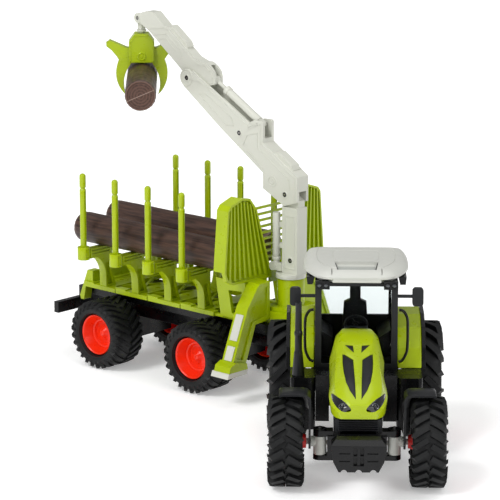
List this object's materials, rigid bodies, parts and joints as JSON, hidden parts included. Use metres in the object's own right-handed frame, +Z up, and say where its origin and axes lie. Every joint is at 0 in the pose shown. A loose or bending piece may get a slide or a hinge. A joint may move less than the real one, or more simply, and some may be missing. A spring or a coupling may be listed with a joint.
{
  "type": "toy tractor with log trailer",
  "caption": "Toy farm tractor hitched to a log trailer with a loading crane and grapple; wheels roll, front axle steers, crane slews, lifts and folds, claws open.",
  "frame": {"origin": "middle of the whole toy's footprint, on the ground under the wheels", "axes": "+Z up; the tractor's nose points along -Y, with its left side to +X; the trailer stands turned about its hitch"},
  "size_m": [0.2986, 0.4718, 0.2778],
  "materials": {
    "lime_plastic": "semi-gloss moulded, vivid yellow-green",
    "white_plastic": "satin moulded, warm white",
    "light_grey_plastic": "satin moulded, light grey",
    "dark_grey_plastic": "satin moulded, dark grey",
    "black_plastic": "satin moulded, black",
    "tyre": "matt soft plastic",
    "red_plastic": "gloss, red",
    "orange_plastic": "gloss, orange-red",
    "log_plastic": "dark brown with moulded grain",
    "steel": "zinc-plated",
    "window": "clear moulded",
    "lamp": "gloss black with clear lens"
  },
  "bodies": {
    "tractor": {"chassis": "black_plastic", "front_axle_beam": "black_plastic", "bonnet": "lime_plastic", "bonnet_grilles": "dark_grey_plastic", "headlights": "lamp", "front_weight": "black_plastic", "cab_frame": "dark_grey_plastic", "cab_windows": "window", "cab_interior": "dark_grey_plastic", "seat": "dark_grey_plastic", "dashboard": "dark_grey_plastic", "steering_wheel": "dark_grey_plastic", "roof": "light_grey_plastic", "roof_lights": "black_plastic", "mirrors": "dark_grey_plastic", "handrails": "dark_grey_plastic", "exhaust": "dark_grey_plastic", "rear_fenders": "lime_plastic", "fender_trims": "black_plastic", "fuel_tanks": "black_plastic", "tow_hitch": "black_plastic"},
    "rear_wheels": {"rear_tyres": "tyre", "rear_rims": "red_plastic", "rear_axle": "steel"},
    "knuckle_right": {"knuckle_right": "light_grey_plastic", "front_fender_right": "black_plastic"},
    "knuckle_left": {"knuckle_left": "light_grey_plastic", "front_fender_left": "black_plastic"},
    "front_wheel_right": {"front_tyre_right": "tyre", "front_rim_right": "red_plastic"},
    "front_wheel_left": {"front_tyre_left": "tyre", "front_rim_left": "red_plastic"},
    "steering_rod": {"tie_rod": "light_grey_plastic"},
    "trailer": {"trailer_frame": "black_plastic", "drawbar": "black_plastic", "load_deck": "lime_plastic", "bolsters": "lime_plastic", "stakes": "lime_plastic", "headboard": "lime_plastic", "crane_base": "lime_plastic", "outriggers": "lime_plastic", "outrigger_soles": "white_plastic", "reflectors": "white_plastic"},
    "trailer_front_wheels": {"trailer_tyres_front": "tyre", "trailer_rims_front": "orange_plastic"},
    "trailer_rear_wheels": {"trailer_tyres_rear": "tyre", "trailer_rims_rear": "orange_plastic"},
    "cargo_near": {"cargo_log_near": "log_plastic"},
    "cargo_far": {"cargo_log_far": "log_plastic"},
    "crane": {"crane_column": "white_plastic"},
    "boom": {"boom": "white_plastic", "boom_pins": "steel"},
    "jib": {"jib": "white_plastic"},
    "jib_barrel": {"jib_barrel": "white_plastic"},
    "jib_rod": {"jib_rod": "white_plastic"},
    "hanger": {"hanger": "white_plastic"},
    "grapple": {"grapple_body": "lime_plastic"},
    "held_log": {"held_log": "log_plastic"},
    "claw_right": {"claw_right": "lime_plastic"},
    "claw_left": {"claw_left": "lime_plastic"}
  },
  "joints": [
    {"name": "rear_axle_spin", "type": "hinge", "parent": "tractor", "child": "rear_wheels", "pos_m": [0.08872, -0.05587, 0.04165], "axis": [1, 0, 0], "continuous": true},
    {"name": "steer_right", "type": "hinge", "parent": "tractor", "child": "knuckle_right", "pos_m": [0.06372, -0.17127, 0.0285], "axis": [0, 0, 1], "range_deg": [-20, 20]},
    {"name": "steer_left", "type": "hinge", "parent": "tractor", "child": "knuckle_left", "pos_m": [0.11372, -0.17127, 0.0285], "axis": [0, 0, 1], "range_deg": [-20, 20]},
    {"name": "steering_rod_slide", "type": "slide", "parent": "tractor", "child": "steering_rod", "axis": [1, 0, 0], "range_m": [-0.0045, 0.0045]},
    {"name": "front_wheel_right_spin", "type": "hinge", "parent": "knuckle_right", "child": "front_wheel_right", "pos_m": [0.04172, -0.17127, 0.03075], "axis": [1, 0, 0], "continuous": true},
    {"name": "front_wheel_left_spin", "type": "hinge", "parent": "knuckle_left", "child": "front_wheel_left", "pos_m": [0.13572, -0.17127, 0.03075], "axis": [1, 0, 0], "continuous": true},
    {"name": "hitch_swing", "type": "hinge", "parent": "tractor", "child": "trailer", "pos_m": [0.08872, 0.00813, 0.036], "axis": [0, 0, 1], "range_deg": [-104, 6]},
    {"name": "trailer_front_axle_spin", "type": "hinge", "parent": "trailer", "child": "trailer_front_wheels", "pos_m": [0.00109, 0.08398, 0.0271], "axis": [0.6545, 0.7561, 0], "continuous": true},
    {"name": "trailer_rear_axle_spin", "type": "hinge", "parent": "trailer", "child": "trailer_rear_wheels", "pos_m": [-0.07588, 0.15061, 0.0271], "axis": [0.6545, 0.7561, 0], "continuous": true},
    {"name": "cargo_near_lift", "type": "slide", "parent": "trailer", "child": "cargo_near", "axis": [0, 0, 1], "range_m": [0, 0.03]},
    {"name": "cargo_far_lift", "type": "slide", "parent": "trailer", "child": "cargo_far", "axis": [0, 0, 1], "range_m": [0, 0.03]},
    {"name": "crane_slew", "type": "hinge", "parent": "trailer", "child": "crane", "pos_m": [0.04199, 0.04858, 0.09], "axis": [0, 0, 1], "continuous": true},
    {"name": "boom_lift", "type": "hinge", "parent": "crane", "child": "boom", "pos_m": [0.04124, 0.04923, 0.154], "axis": [0.6545, 0.7561, 0], "range_deg": [-12, 20]},
    {"name": "jib_fold", "type": "hinge", "parent": "boom", "child": "jib", "pos_m": [-0.03467, 0.11494, 0.231], "axis": [0.6545, 0.7561, 0], "range_deg": [-14, 8]},
    {"name": "jib_ram_swing", "type": "hinge", "parent": "boom", "child": "jib_barrel", "pos_m": [0.02007, 0.06756, 0.2035], "axis": [0.6545, 0.7561, 0], "range_deg": [-15, 15]},
    {"name": "jib_ram_stroke", "type": "slide", "parent": "jib_barrel", "child": "jib_rod", "axis": [-0.6496, 0.5623, 0.5118], "range_m": [-0.008, 0.008]},
    {"name": "hanger_swing", "type": "hinge", "parent": "jib", "child": "hanger", "pos_m": [-0.07565, 0.15041, 0.2717], "axis": [0.6545, 0.7561, 0], "range_deg": [-5, 12]},
    {"name": "grapple_rotate", "type": "hinge", "parent": "hanger", "child": "grapple", "pos_m": [-0.07565, 0.15041, 0.256], "axis": [0, 0, 1], "range_deg": [-15, 15]},
    {"name": "claw_right_open", "type": "hinge", "parent": "grapple", "child": "claw_right", "pos_m": [-0.08165, 0.1501, 0.243], "axis": [-0.0527, 0.9986, 0], "range_deg": [0, 26]},
    {"name": "claw_left_open", "type": "hinge", "parent": "grapple", "child": "claw_left", "pos_m": [-0.06966, 0.15073, 0.243], "axis": [-0.0527, 0.9986, 0], "range_deg": [-26, 0]},
    {"name": "held_log_slide", "type": "slide", "parent": "grapple", "child": "held_log", "axis": [-0.0527, 0.9986, 0], "range_m": [-0.02, 0.02]}
  ],
  "couplings": [
    {"joint": "steer_left", "follows": "steer_right", "ratio": 1},
    {"joint": "steering_rod_slide", "follows": "steer_right", "m_per_rad": -0.012},
    {"joint": "jib_ram_swing", "follows": "jib_fold", "ratio": -0.36107},
    {"joint": "jib_ram_stroke", "follows": "jib_fold", "m_per_rad": -0.014516},
    {"joint": "claw_left_open", "follows": "claw_right_open", "ratio": -1}
  ]
}
